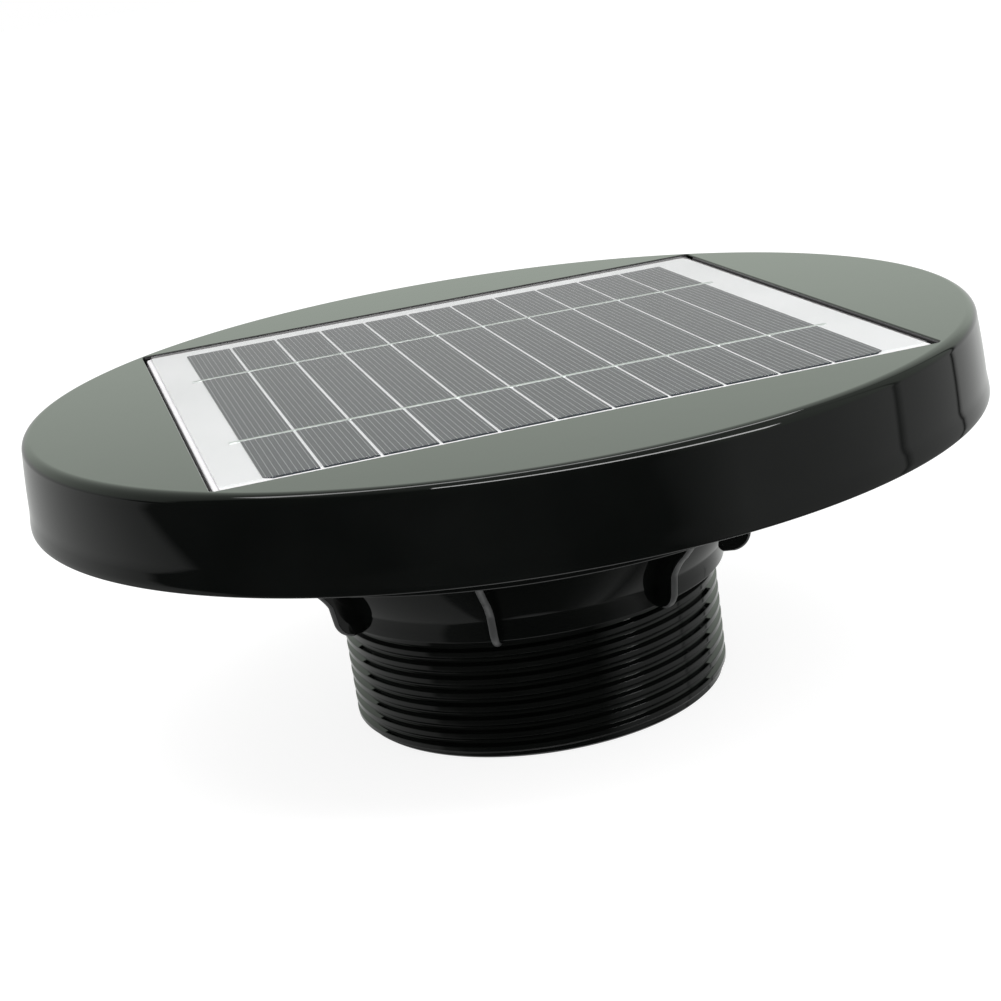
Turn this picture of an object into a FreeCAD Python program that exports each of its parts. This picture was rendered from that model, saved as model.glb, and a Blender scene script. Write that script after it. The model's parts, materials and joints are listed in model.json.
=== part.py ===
import FreeCAD, Part
import math
import os
import re

import Sketcher
from FreeCAD import Placement, Rotation, Vector

# Solar attic fan: a threaded neck that stands through the roof, a flange with posts, a fan cassette in the
# neck and a round cap with a solar panel let into its top. +Z is up, and the origin is at the centre of the
# neck's lower end.

DIMENSIONS = [
    # alias, millimetres or a count, what it is
    ("total_height", 94.0, "neck's lower end to the cap's top"),
    ("cap_radius", 125.0, "outside of the drip lip"),
    ("cap_side_foot", 124.65, "outside of the skirt above the lip"),
    ("cap_side_head", 123.3, "outside of the skirt under the rolled edge"),
    ("cap_side_bulge", 240.0, "radius of the skirt's slight outward curve"),
    ("cap_edge", 2.6, "radius of the rolled top edge"),
    ("cap_depth", 22.3, "top to the skirt's lower edge"),
    ("cap_wall", 2.5, "plate and skirt thickness"),
    ("lip_height", 2.3, "drip lip"),
    ("tub_wall", 2.0, "walls and floor of the panel recess"),
    ("tub_corner", 6.0, "outer corner radius of those walls"),
    ("window_gap", 1.5, "gap round the junction box in that floor"),
    ("recess_gap", 0.9, "gap between the panel and the recess wall"),
    ("recess_corner", 1.5, "recess corner radius"),
    ("rib_width", 1.6, "ribs between the recess and the skirt"),
    ("rib_spacing", 40.0, "spacing of the ribs along each side"),
    ("panel_side", 169.0, "square panel"),
    ("panel_corner", 2.0, "panel corner radius"),
    ("tape_width", 12.0, "foam tape"),
    ("tape_inset", 2.0, "foam tape from the panel's edge"),
    ("tape_thick", 0.8, "foam tape"),
    ("board_thick", 2.4, "white backing board"),
    ("laminate_thick", 0.6, "clear front, flush with the cap's top"),
    ("laminate_skin", 0.3, "clear front over the cells"),
    ("cell_count", 11, "cell strips side by side"),
    ("cell_width", 12.5, "one strip across"),
    ("cell_length", 157.7, "one strip along"),
    ("cell_pitch", 13.338, "strip to strip"),
    ("cell_thick", 0.2, "silicon strip"),
    ("cells_middle_x", -0.4, "middle of the cell field"),
    ("cells_middle_y", -3.65, "middle of the cell field"),
    ("busbar_width", 1.3, "ribbon"),
    ("busbar_thick", 0.08, "ribbon"),
    ("busbar_back_y", 36.3, "ribbon row"),
    ("busbar_front_y", -42.9, "ribbon row"),
    ("busbar_stub", 2.6, "ribbon past the end cells"),
    ("box_width", 42.0, "junction box across"),
    ("box_length", 32.0, "junction box along"),
    ("box_depth", 9.0, "junction box below the board"),
    ("box_wall", 1.5, "junction box and lid"),
    ("box_middle_y", 40.0, "junction box place"),
    ("tab_width", 5.0, "junction box terminal"),
    ("tab_length", 12.0, "junction box terminal"),
    ("tab_thick", 1.2, "junction box terminal"),
    ("tab_spacing", 8.0, "each terminal from the middle plane"),
    ("diode_radius", 1.3, "blocking diode"),
    ("diode_length", 11.0, "blocking diode"),
    ("relief_width", 8.0, "strain relief across"),
    ("relief_side", 5.0, "strain relief along and up"),
    ("lead_radius", 0.8, "insulated lead"),
    ("lead_offset", 1.1, "each lead from the middle plane"),
    ("lead_drop", 3.5, "panel leads above the junction box's lower edge"),
    ("lead_start", 11.0, "where the fan leads leave the driver board"),
    ("lead_turn", 88.0, "where the panel leads turn down and back"),
    ("lead_rise", 2.5, "panel leads above the flange"),
    ("socket_width", 7.4, "lead socket"),
    ("socket_length", 7.0, "lead socket"),
    ("socket_height", 5.4, "lead socket"),
    ("plug_width", 6.4, "lead plug"),
    ("plug_length", 7.5, "lead plug"),
    ("plug_height", 4.4, "lead plug"),
    ("neck_bore", 46.5, "inside of the neck"),
    ("neck_end", 49.0, "outside of the neck's end face"),
    ("thread_root", 49.7, "thread root radius"),
    ("thread_crest", 50.9, "thread crest radius"),
    ("thread_pitch", 3.66, "ridge to ridge"),
    ("thread_turns", 8, "turns"),
    ("thread_start", 0.69, "middle of the first ridge"),
    ("thread_foot", 2.7, "ridge width at the root"),
    ("thread_top", 1.4, "ridge width at the crest"),
    ("shoulder_level", 32.8, "underside of the collar"),
    ("collar_foot", 53.6, "collar radius at the shoulder"),
    ("collar_kink", 54.2, "collar radius where it starts to flare"),
    ("kink_level", 38.0, "where the collar starts to flare"),
    ("collar_head", 60.0, "collar radius under the flange"),
    ("flare_radius", 46.0, "curve of the flare"),
    ("flange_level", 59.5, "underside of the flange"),
    ("flange_thick", 3.0, "flange"),
    ("flange_radius", 92.0, "flange"),
    ("rim_width", 2.0, "drip rim on the flange"),
    ("rim_height", 3.5, "drip rim on the flange"),
    ("seat_radius", 50.0, "pocket for the fan frame"),
    ("seat_level", 33.5, "ledge under the fan frame"),
    ("grille_seat", 44.5, "inner flange over the grille"),
    ("grille_level", 16.0, "underside of that flange"),
    ("gusset_count", 8, "fins round the collar"),
    ("gusset_thick", 2.0, "fin"),
    ("gusset_turn", 22.5, "first fin from the X axis"),
    ("gusset_toe", 56.6, "fin radius at its flat lower end"),
    ("gusset_side", 61.2, "fin radius at the foot of its outer edge"),
    ("gusset_waist", 62.0, "fin radius where its edge sweeps out"),
    ("gusset_sweep", 67.0, "fin radius at the end of the sweep"),
    ("gusset_tip", 78.6, "fin radius under the flange"),
    ("gusset_nose", 5.6, "rounding of the fin's lower end"),
    ("gusset_curve", 18.0, "curve where the fin's edge sweeps out"),
    ("post_ring", 80.0, "posts and cap screws from the axis"),
    ("post_radius", 5.5, "hollow post"),
    ("post_top", 82.0, "where the posts meet the cap's bosses"),
    ("screw_pocket", 3.4, "screw head pocket"),
    ("screw_seat", 77.0, "where the screw heads bear"),
    ("screw_hole", 1.8, "clearance hole"),
    ("screw_radius", 1.4, "screw shank"),
    ("screw_head", 3.0, "screw head radius"),
    ("head_height", 2.2, "screw head"),
    ("cross_length", 3.4, "screw's cross recess"),
    ("cross_width", 0.8, "screw's cross recess"),
    ("cross_depth", 1.2, "screw's cross recess"),
    ("frame_ring", 57.0, "frame screws from the axis"),
    ("boss_radius", 3.2, "bosses under the flange"),
    ("boss_depth", 6.5, "bosses under the flange"),
    ("shroud_inner", 46.8, "fan duct"),
    ("shroud_outer", 49.7, "fan duct"),
    ("frame_flange", 61.0, "fan frame's flange radius"),
    ("frame_thick", 2.5, "fan frame's flange"),
    ("motor_base", 18.0, "motor base radius"),
    ("spoke_width", 7.0, "spokes"),
    ("spoke_thick", 3.0, "spokes and motor base"),
    ("channel_width", 4.4, "lead channel in a spoke"),
    ("tube_outer", 5.2, "bearing tube"),
    ("bearing_outer", 4.0, "ball bearing"),
    ("bearing_inner", 1.53, "ball bearing bore"),
    ("bearing_width", 4.0, "ball bearing"),
    ("tube_step", 3.4, "shoulders between the bearings"),
    ("tube_foot", 44.0, "lower end of the bearing tube"),
    ("washer_thick", 0.6, "preload washer"),
    ("upper_seat", 56.0, "upper bearing's shoulder"),
    ("shaft_radius", 1.5, "shaft"),
    ("shaft_groove", 1.2, "bottom of the clip groove"),
    ("shaft_foot", 41.0, "lower end of the shaft"),
    ("shaft_head", 61.8, "upper end of the shaft"),
    ("clip_level", 60.3, "retaining clip"),
    ("clip_thick", 0.5, "retaining clip"),
    ("clip_outer", 3.0, "retaining clip"),
    ("yoke_outer", 16.0, "rotor yoke"),
    ("yoke_wall", 1.0, "rotor yoke"),
    ("yoke_top", 56.6, "open end of the yoke"),
    ("magnet_inner", 13.4, "magnet ring"),
    ("core_outer", 12.7, "stator core"),
    ("core_shoe", 10.7, "inside of the pole shoes"),
    ("core_hub", 7.0, "core between the arms"),
    ("core_level", 48.0, "underside of the core"),
    ("core_height", 6.0, "core stack"),
    ("arm_width", 4.0, "pole arms"),
    ("pole_gap", 2.4, "gaps between the pole shoes"),
    ("coil_depth", 2.6, "coils along the arms"),
    ("coil_width", 8.6, "coils across"),
    ("coil_height", 9.0, "coils along the axis"),
    ("circuit_level", 57.6, "driver board"),
    ("circuit_thick", 1.4, "driver board"),
    ("circuit_radius", 14.5, "driver board"),
    ("chip_height", 1.1, "driver board's components"),
    ("hub_radius", 18.0, "impeller hub"),
    ("hub_face", 38.5, "lower face of the hub"),
    ("hub_top", 56.0, "open end of the hub"),
    ("hub_round", 3.0, "rounding of the hub's nose"),
    ("blade_count", 7, "blades"),
    ("blade_tip", 45.8, "blade tip radius"),
    ("blade_root", 15.0, "inner blade section from the axis"),
    ("blade_reach", 47.0, "outer blade section before trimming"),
    ("blade_level", 47.2, "middle of the blades"),
    ("root_run", 6.6, "half width of the inner section"),
    ("root_rise", 6.8, "half height of the inner section"),
    ("tip_run", 12.6, "half width of the outer section"),
    ("tip_rise", 6.4, "half height of the outer section"),
    ("root_back", 15.5, "convex side of the inner section"),
    ("root_belly", 24.0, "concave side of the inner section"),
    ("tip_back", 28.0, "convex side of the outer section"),
    ("tip_belly", 38.0, "concave side of the outer section"),
    ("grille_radius", 46.3, "inlet grille"),
    ("grille_thick", 2.4, "inlet grille"),
    ("grille_rim", 2.6, "grille outer ring"),
    ("grille_hub", 5.5, "grille middle"),
    ("grille_rings", 7, "thin rings in the grille"),
    ("grille_pitch", 5.2, "grille rings apart"),
    ("grille_bar", 1.3, "grille rings and spokes"),
    ("clamp_height", 2.2, "ring under the grille"),
]

CHIPS = [
    # middle x and y, length and width of what is soldered to the driver board
    ("9", "-4", "3", "5"),
    ("-9", "3", "4", "4"),
    ("-4", "-10", "5", "3"),
    ("8", "6", "2", "1.2"),
]

LEVELS = {
    # heights that several pieces share
    "cap_foot": "(total_height - cap_depth)",
    "floor_top": "(total_height - laminate_thick - board_thick - tape_thick)",
    "floor_under": "(total_height - laminate_thick - board_thick - tape_thick - tub_wall)",
    "plate_under": "(total_height - cap_wall)",
    "board_under": "(total_height - laminate_thick - board_thick)",
    "board_top": "(total_height - laminate_thick)",
    "flange_top": "(flange_level + flange_thick)",
    "box_foot": "(total_height - laminate_thick - board_thick - box_depth)",
    "frame_top": "(flange_level + flange_thick + frame_thick)",
    "spoke_under": "(flange_level + flange_thick + frame_thick - spoke_thick)",
}

doc = FreeCAD.newDocument("solar_attic_fan")
sheet = doc.addObject("Spreadsheet::Sheet", "dim")
for row, (alias, number, note) in enumerate(DIMENSIONS, start=1):
    sheet.set(f"A{row}", note)
    sheet.set(f"B{row}", str(number))
    sheet.setAlias(f"B{row}", alias)
doc.recompute()

nodes = []


# Formulas, sketches and features


def formula(text):
    """A formula over the sheet's cells: shared levels are written out, and cells get the sheet's name."""
    text = re.sub(r"[a-z_]+", lambda word: LEVELS.get(word.group(0), word.group(0)), str(text))
    return re.sub(r"[a-z_]+", lambda word: "dim." + word.group(0), text)


def amount(text):
    return float(sheet.evalExpression(formula(text)))


def diagonal(distance):
    """Each coordinate of a point that far from the axis, at 45 degrees."""
    return f"{distance} / 1.41421356"


def keep(piece, label):
    """Makes an object one of the fan's sub-parts."""
    piece.Label = label
    nodes.append(piece)
    return piece


def constrain(sketch, kind, *where, size):
    index = sketch.addConstraint(Sketcher.Constraint(kind, *where, amount(size)))
    sketch.setExpression(f"Constraints[{index}]", formula(size))


def arc_between(start, end, radius, side):
    """The short arc from start to end that turns left (side 1) or right (side -1)."""
    chord = end - start
    left = Vector(-chord.y, chord.x, 0).normalize()
    centre = (start + end) / 2 + left * side * math.sqrt(radius**2 - (chord.Length / 2) ** 2)
    first, last = (start, end) if side > 0 else (end, start)
    angles = [math.atan2(point.y - centre.y, point.x - centre.x) for point in (first, last)]
    return Part.ArcOfCircle(Part.Circle(centre, Vector(0, 0, 1), radius), *angles)


def outline(sketch, corners):
    """A closed loop of corners (x, y), or (x, y, radius, side) where an arc leads to the next corner."""
    points = [Vector(amount(corner[0]), amount(corner[1]), 0) for corner in corners]
    ends = []
    for index, corner in enumerate(corners):
        start, end = points[index], points[(index + 1) % len(points)]
        if len(corner) == 4:
            piece = sketch.addGeometry(arc_between(start, end, amount(corner[2]), corner[3]))
            constrain(sketch, "Radius", piece, size=corner[2])
            ends.append((piece, 1, 2) if corner[3] > 0 else (piece, 2, 1))
        else:
            piece = sketch.addGeometry(Part.LineSegment(start, end))
            ends.append((piece, 1, 2))
    for index, corner in enumerate(corners):
        piece, first, _ = ends[index]
        before, _, last = ends[index - 1]
        sketch.addConstraint(Sketcher.Constraint("Coincident", before, last, piece, first))
        constrain(sketch, "DistanceX", -1, 1, piece, first, size=corner[0])
        constrain(sketch, "DistanceY", -1, 1, piece, first, size=corner[1])


def rectangle(sketch, x_low, x_high, y_low, y_high):
    outline(sketch, [(x_low, y_low), (x_high, y_low), (x_high, y_high), (x_low, y_high)])


def rounded_square(sketch, half, corner):
    """A square about the origin, with rounded corners."""
    inner = f"({half}) - ({corner})"
    quarter = [(1, -1), (1, 1), (-1, 1), (-1, -1)]
    corners = []
    for sx, sy in quarter:
        flat_x, flat_y = (f"{sx} * ({half})", f"{sy} * ({inner})"), (f"{sx} * ({inner})", f"{sy} * ({half})")
        pair = (flat_x, flat_y) if sx * sy > 0 else (flat_y, flat_x)
        corners += [(*pair[0], corner, 1), pair[1]]
    outline(sketch, corners)


def circle(sketch, radius, x="0", y="0"):
    middle = Vector(amount(x), amount(y), 0)
    index = sketch.addGeometry(Part.Circle(middle, Vector(0, 0, 1), amount(radius)))
    constrain(sketch, "DistanceX", -1, 1, index, 3, size=x)
    constrain(sketch, "DistanceY", -1, 1, index, 3, size=y)
    constrain(sketch, "Radius", index, size=radius)


def new_body(label):
    return keep(doc.addObject("PartDesign::Body", label), label)


def origin_feature(body, role):
    return next(feature for feature in body.Origin.OriginFeatures if feature.Role == role)


def flat_sketch(body, name, level="0"):
    """A sketch on a level plane."""
    sketch = body.newObject("Sketcher::SketchObject", name)
    sketch.AttachmentSupport = [(origin_feature(body, "XY_Plane"), "")]
    sketch.MapMode = "FlatFace"
    sketch.setExpression("AttachmentOffset.Base.z", formula(level))
    return sketch


def upright_sketch(body, name, turn="0"):
    """A sketch on the plane through the axis: x is the radius and y is the height."""
    sketch = body.newObject("Sketcher::SketchObject", name)
    sketch.AttachmentSupport = [(origin_feature(body, "XZ_Plane"), "")]
    sketch.MapMode = "FlatFace"
    sketch.AttachmentOffset = Placement(Vector(), Rotation(Vector(0, 1, 0), amount(turn)))
    sketch.setExpression("AttachmentOffset.Rotation.Angle", formula(turn))
    return sketch


def revolve(body, name, corners, cut=False):
    sketch = upright_sketch(body, name + "_profile")
    outline(sketch, corners)
    feature = body.newObject("PartDesign::Groove" if cut else "PartDesign::Revolution", name)
    feature.Profile = sketch
    feature.ReferenceAxis = (sketch, ["V_Axis"])
    feature.Angle = 360
    return feature


def pad(body, sketch, name, length, down=False, both_ways=False):
    feature = body.newObject("PartDesign::Pad", name)
    feature.Profile = sketch
    feature.Reversed = down
    if both_ways:
        feature.SideType = "Symmetric"
    feature.setExpression("Length", formula(length))
    return feature


def pocket(body, sketch, name, depth, up=False):
    feature = body.newObject("PartDesign::Pocket", name)
    feature.Profile = sketch
    feature.Reversed = up
    feature.setExpression("Length", formula(depth))
    return feature


def around(body, features, count):
    """Repeats features evenly round the axis."""
    pattern = body.newObject("PartDesign::PolarPattern", features[0].Name + "_around")
    pattern.Originals = features
    pattern.Axis = (origin_feature(body, "Z_Axis"), [""])
    pattern.Angle = 360
    pattern.setExpression("Occurrences", formula(count))
    body.Tip = pattern
    return pattern


# Primitives and booleans


def place(piece, x="0", y="0", z="0"):
    for axis, size in zip("xyz", (x, y, z)):
        piece.setExpression(f"Placement.Base.{axis}", formula(size))
    return piece


def cylinder(name, radius, z, height, x="0", y="0"):
    piece = doc.addObject("Part::Cylinder", name)
    piece.setExpression("Radius", formula(radius))
    piece.setExpression("Height", formula(height))
    return place(piece, x, y, z)


def block(name, x, y, z, length, width, height):
    """A box from its low corner."""
    piece = doc.addObject("Part::Box", name)
    for size, text in (("Length", length), ("Width", width), ("Height", height)):
        piece.setExpression(size, formula(text))
    return place(piece, x, y, z)


def middle_block(name, x, y, z, length, width, height):
    """A box centred on x and y."""
    return block(name, f"{x} - ({length}) / 2", f"{y} - ({width}) / 2", z, length, width, height)


def cut(name, base, *tools):
    result = base
    for index, tool in enumerate(tools):
        feature = doc.addObject("Part::Cut", name if tool is tools[-1] else f"{name}_cut_{index}")
        feature.Base = result
        feature.Tool = tool
        result = feature
    return result


def fuse(name, *pieces):
    feature = doc.addObject("Part::MultiFuse", name)
    feature.Shapes = list(pieces)
    return feature


def group(name, *pieces):
    """Separate solids in one sub-part."""
    feature = doc.addObject("Part::Compound", name)
    feature.Links = list(pieces)
    return feature


def ring(name, outer, inner, z, height):
    return cut(name, cylinder(name + "_disc", outer, z, height), cylinder(name + "_hole", inner, z, height))


def turned(name, piece, angle):
    """A copy of a piece turned about the axis."""
    copy = doc.addObject("App::Link", name)
    copy.LinkedObject = piece
    copy.LinkTransform = True
    copy.LinkPlacement = Placement(Vector(), Rotation(Vector(0, 0, 1), angle))
    return copy


# Vent base: neck, collar, flange, fins and posts in one moulding


def make_vent_base():
    body = new_body("vent_base")
    revolve(body, "neck", [
        ("neck_bore", "0"), ("neck_end", "0"), ("thread_root", "thread_root - neck_end"),
        ("thread_root", "shoulder_level"), ("collar_foot - 0.4", "shoulder_level"),
        ("collar_foot", "shoulder_level + 0.4"), ("collar_kink", "kink_level", "flare_radius", 1),
        ("collar_head", "flange_level"), ("flange_radius", "flange_level"),
        ("flange_radius", "flange_top + rim_height"),
        ("flange_radius - rim_width", "flange_top + rim_height"),
        ("flange_radius - rim_width", "flange_top"), ("seat_radius", "flange_top"),
        ("seat_radius", "seat_level"), ("neck_bore", "seat_level"), ("neck_bore", "grille_level + 2"),
        ("grille_seat", "grille_level + 2"), ("grille_seat", "grille_level"), ("neck_bore", "grille_level"),
    ])

    ridge = upright_sketch(body, "ridge")
    outline(ridge, [
        ("thread_root - 0.1", "thread_start - thread_foot / 2"),
        ("thread_crest", "thread_start - thread_top / 2"),
        ("thread_crest", "thread_start + thread_top / 2"),
        ("thread_root - 0.1", "thread_start + thread_foot / 2"),
    ])
    thread = body.newObject("PartDesign::AdditiveHelix", "thread")
    thread.Profile = ridge
    thread.ReferenceAxis = (ridge, ["V_Axis"])
    thread.Mode = "pitch-turns-angle"
    thread.setExpression("Pitch", formula("thread_pitch"))
    thread.setExpression("Turns", formula("thread_turns"))
    body.Tip = thread
    revolve(body, "lead_in", [
        ("neck_end - 3", "0"), ("neck_end", "0"), ("thread_crest + 1", "thread_crest - neck_end + 1.4"),
        ("thread_crest + 1", "-3"), ("neck_end - 3", "-3"),
    ], cut=True)

    fin = upright_sketch(body, "fin_outline", "gusset_turn")
    outline(fin, [
        ("collar_foot - 1.6", "shoulder_level + 0.1"),
        ("gusset_toe", "shoulder_level + 0.1", "gusset_nose", 1), ("gusset_side", "kink_level - 0.8"),
        ("gusset_waist", "kink_level + 4", "gusset_curve", -1),
        ("gusset_sweep", "kink_level + 9.8"), ("gusset_tip", "flange_level"), ("collar_foot", "flange_level"),
        ("collar_foot - 1.6", "kink_level"),
    ])
    around(body, [pad(body, fin, "fin", "gusset_thick", both_ways=True)], "gusset_count")

    spot = diagonal("post_ring")
    post = flat_sketch(body, "post_section", "flange_top")
    circle(post, "post_radius", spot, spot)
    head = flat_sketch(body, "head_pocket_section", "flange_level")
    circle(head, "screw_pocket", spot, spot)
    hole = flat_sketch(body, "screw_hole_section", "flange_level")
    circle(hole, "screw_hole", spot, spot)
    around(body, [
        pad(body, post, "post", "post_top - flange_top"),
        pocket(body, head, "head_pocket", "screw_seat - flange_level", up=True),
        pocket(body, hole, "screw_hole", "post_top - flange_level", up=True),
    ], "4")

    corner = diagonal("frame_ring")
    boss = flat_sketch(body, "boss_section", "flange_level")
    circle(boss, "boss_radius", corner, corner)
    pilot = flat_sketch(body, "pilot_section", "flange_top")
    circle(pilot, "screw_radius", corner, corner)
    around(body, [
        pad(body, boss, "boss", "boss_depth", down=True),
        pocket(body, pilot, "pilot", "flange_thick + boss_depth - 1.5"),
    ], "4")


# Cap: plate, skirt with a drip lip, panel recess, ribs and bosses in one moulding


def make_cap():
    body = new_body("cap_shell")
    revolve(body, "shell", [
        ("0", "plate_under"), ("cap_side_head - cap_wall", "plate_under"),
        ("cap_radius - cap_wall - 0.3", "cap_foot"), ("cap_radius - 0.4", "cap_foot", "0.5", 1),
        ("cap_radius", "cap_foot + 0.4"), ("cap_radius", "cap_foot + lip_height - 0.3"),
        ("cap_side_foot", "cap_foot + lip_height", "cap_side_bulge", 1),
        ("cap_side_head", "total_height - cap_edge", "cap_edge", 1),
        ("cap_side_head - cap_edge", "total_height"), ("0", "total_height"),
    ])
    half = "panel_side / 2 + recess_gap"
    tub = flat_sketch(body, "tub_section", "floor_under")
    rounded_square(tub, half + " + tub_wall", "tub_corner")
    pad(body, tub, "tub", "plate_under - floor_under")
    recess = flat_sketch(body, "recess_section", "total_height")
    rounded_square(recess, half, "recess_corner")
    pocket(body, recess, "recess", "total_height - floor_top")

    window = flat_sketch(body, "window_section", "floor_top")
    rectangle(window, "-box_width / 2 - window_gap", "box_width / 2 + window_gap",
              "box_middle_y - box_length / 2 - window_gap", "box_middle_y + box_length / 2 + window_gap")
    pocket(body, window, "window", "tub_wall")

    ribs = flat_sketch(body, "rib_section", "floor_under")
    reach = amount("cap_side_head - 1")
    for step in (-1, 0, 1):
        offset = step * amount("rib_spacing")
        end = math.sqrt(reach**2 - (abs(offset) + 1) ** 2)
        rectangle(ribs, half + " + 1", f"{end:.3f}", f"{step} * rib_spacing - rib_width / 2",
                  f"{step} * rib_spacing + rib_width / 2")
    around(body, [pad(body, ribs, "ribs", "plate_under - floor_under")], "4")

    spot = diagonal("post_ring")
    boss = flat_sketch(body, "cap_boss_section", "floor_under")
    circle(boss, "post_radius - 0.5", spot, spot)
    pilot = flat_sketch(body, "cap_pilot_section", "post_top")
    circle(pilot, "screw_radius", spot, spot)
    around(body, [
        pad(body, boss, "cap_boss", "floor_under - post_top", down=True),
        pocket(body, pilot, "cap_pilot", "floor_under - post_top + 1", up=True),
    ], "4")


# Solar panel, from the tape up


def make_panel():
    side = "panel_side - 2 * tape_inset"
    opening = side + " - 2 * tape_width"
    outer = middle_block("tape_outer", "0", "0", "floor_top", side, side, "tape_thick")
    inner = middle_block("tape_inner", "0", "0", "floor_top", opening, opening, "tape_thick")
    keep(cut("panel_tape", outer, inner), "panel_tape")

    board = new_body("panel_board")
    section = flat_sketch(board, "board_section", "board_under")
    rounded_square(section, "panel_side / 2", "panel_corner")
    pad(board, section, "board_pad", "board_thick")

    front = new_body("panel_laminate")
    section = flat_sketch(front, "front_section", "board_top")
    rounded_square(section, "panel_side / 2", "panel_corner")
    pad(front, section, "front_pad", "laminate_thick")
    hollow = flat_sketch(front, "cell_room_section", "board_top")
    reach = "(cell_pitch * cell_count / 2 + 3)"
    rectangle(hollow, "cells_middle_x - " + reach, "cells_middle_x + " + reach,
              "cells_middle_y - cell_length / 2 - 0.5", "cells_middle_y + cell_length / 2 + 0.5")
    pocket(front, hollow, "cell_room", "laminate_thick - laminate_skin", up=True)

    cells, ribbons = [], []
    count = int(amount("cell_count"))
    for index in range(count):
        step = f"({index} - (cell_count - 1) / 2)"
        x = f"cells_middle_x + {step} * cell_pitch"
        cells.append(middle_block(f"cell_{index}", x, "cells_middle_y", "board_top",
                                  "cell_width", "cell_length", "cell_thick"))
        for row in ("busbar_back_y", "busbar_front_y"):
            ribbons.append(middle_block(f"ribbon_{row}_{index}", x, row, "board_top + cell_thick",
                                        "cell_width", "busbar_width", "busbar_thick"))
    for row in ("busbar_back_y", "busbar_front_y"):
        for end in (-1, 1):
            x = f"cells_middle_x + {end} * (cell_pitch * (cell_count - 1) + cell_width + busbar_stub) / 2"
            ribbons.append(middle_block(f"stub_{row}_{end + 1}", x, row, "board_top",
                                        "busbar_stub", "busbar_width", "busbar_thick"))
    keep(group("solar_cells", *cells), "solar_cells")
    keep(group("cell_ribbons", *ribbons), "cell_ribbons")


def make_junction_box():
    y = "box_middle_y"
    shell = middle_block("box_outside", "0", y, "box_foot", "box_width", "box_length", "box_depth")
    room = middle_block("box_inside", "0", y, "box_foot", "box_width - 2 * box_wall",
                        "box_length - 2 * box_wall", "box_depth - box_wall")
    exits = [lead_hole(f"box_exit_{side}", side, "box_middle_y + box_length / 2 - 3", "4")
             for side in (-1, 1)]
    keep(cut("junction_box", shell, room, *exits), "junction_box")
    lid = middle_block("lid_plate", "0", y, "box_foot - box_wall", "box_width", "box_length", "box_wall")
    plug = middle_block("lid_plug", "0", y, "box_foot", "box_width - 2 * box_wall - 0.4",
                        "box_length - 2 * box_wall - 0.4", "1")
    keep(fuse("junction_lid", lid, plug), "junction_lid")

    tabs = [middle_block(f"tab_{side}", f"{side} * tab_spacing", y, "board_under - box_wall - tab_thick",
                         "tab_width", "tab_length", "tab_thick")
            for side in (-1, 1)]
    keep(group("junction_terminals", *tabs), "junction_terminals")
    diode = doc.addObject("Part::Cylinder", "diode_body")
    diode.setExpression("Radius", formula("diode_radius"))
    diode.setExpression("Height", formula("diode_length"))
    diode.Placement = Placement(Vector(), Rotation(Vector(0, 1, 0), 90))
    place(diode, "-diode_length / 2", y, "board_under - box_wall - diode_radius")
    keep(diode, "blocking_diode")

    relief = middle_block("relief_block", "0", "box_middle_y + (box_length + relief_side) / 2",
                          "box_foot + 1", "relief_width", "relief_side", "relief_side")
    holes = [lead_hole(f"relief_hole_{side}", side, "box_middle_y + box_length / 2 - 1", "relief_side + 3")
             for side in (-1, 1)]
    keep(cut("strain_relief", relief, *holes), "strain_relief")


# Leads


def lead_hole(name, side, y, length):
    """A hole along Y for one panel lead."""
    hole = doc.addObject("Part::Cylinder", name)
    hole.setExpression("Radius", formula("lead_radius"))
    hole.setExpression("Height", formula(length))
    hole.Placement = Placement(Vector(), Rotation(Vector(1, 0, 0), -90))
    return place(hole, f"{side} * lead_offset", y, "box_foot + lead_drop")


def lead(label, corners):
    """A round lead along straight runs joined by tangent arcs, set in code as its path is a wire of both."""
    points = [Vector(*(amount(size) for size in corner)) for corner in corners]
    runs = [end - start for start, end in zip(points, points[1:])]
    edges, last = [], points[0]
    for corner, before, after in zip(points[1:-1], runs, runs[1:]):
        half_turn = before.getAngle(after) / 2
        radius = 0.45 * min(before.Length, after.Length) / math.tan(half_turn)
        trim = radius * math.tan(half_turn)
        start = corner - Vector(before).normalize() * trim
        end = corner + Vector(after).normalize() * trim
        bisector = (Vector(after).normalize() - Vector(before).normalize()).normalize()
        centre = corner + bisector * radius / math.cos(half_turn)
        middle = centre - bisector * radius
        edges += [Part.LineSegment(last, start).toShape(), Part.Arc(start, middle, end).toShape()]
        last = end
        print(f"{label}: arc of {radius:.1f} mm")
    edges.append(Part.LineSegment(last, points[-1]).toShape())
    path = Part.Wire(edges)
    section = Part.Wire(Part.Circle(points[0], runs[0], amount("lead_radius")).toShape())
    tube = doc.addObject("Part::Feature", label)
    tube.Shape = path.makePipeShell([section], True, False)
    expected = math.pi * amount("lead_radius") ** 2 * path.Length
    print(f"{label}: {tube.Shape.Volume / expected:.3f} of its volume")
    keep(tube, label)


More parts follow.
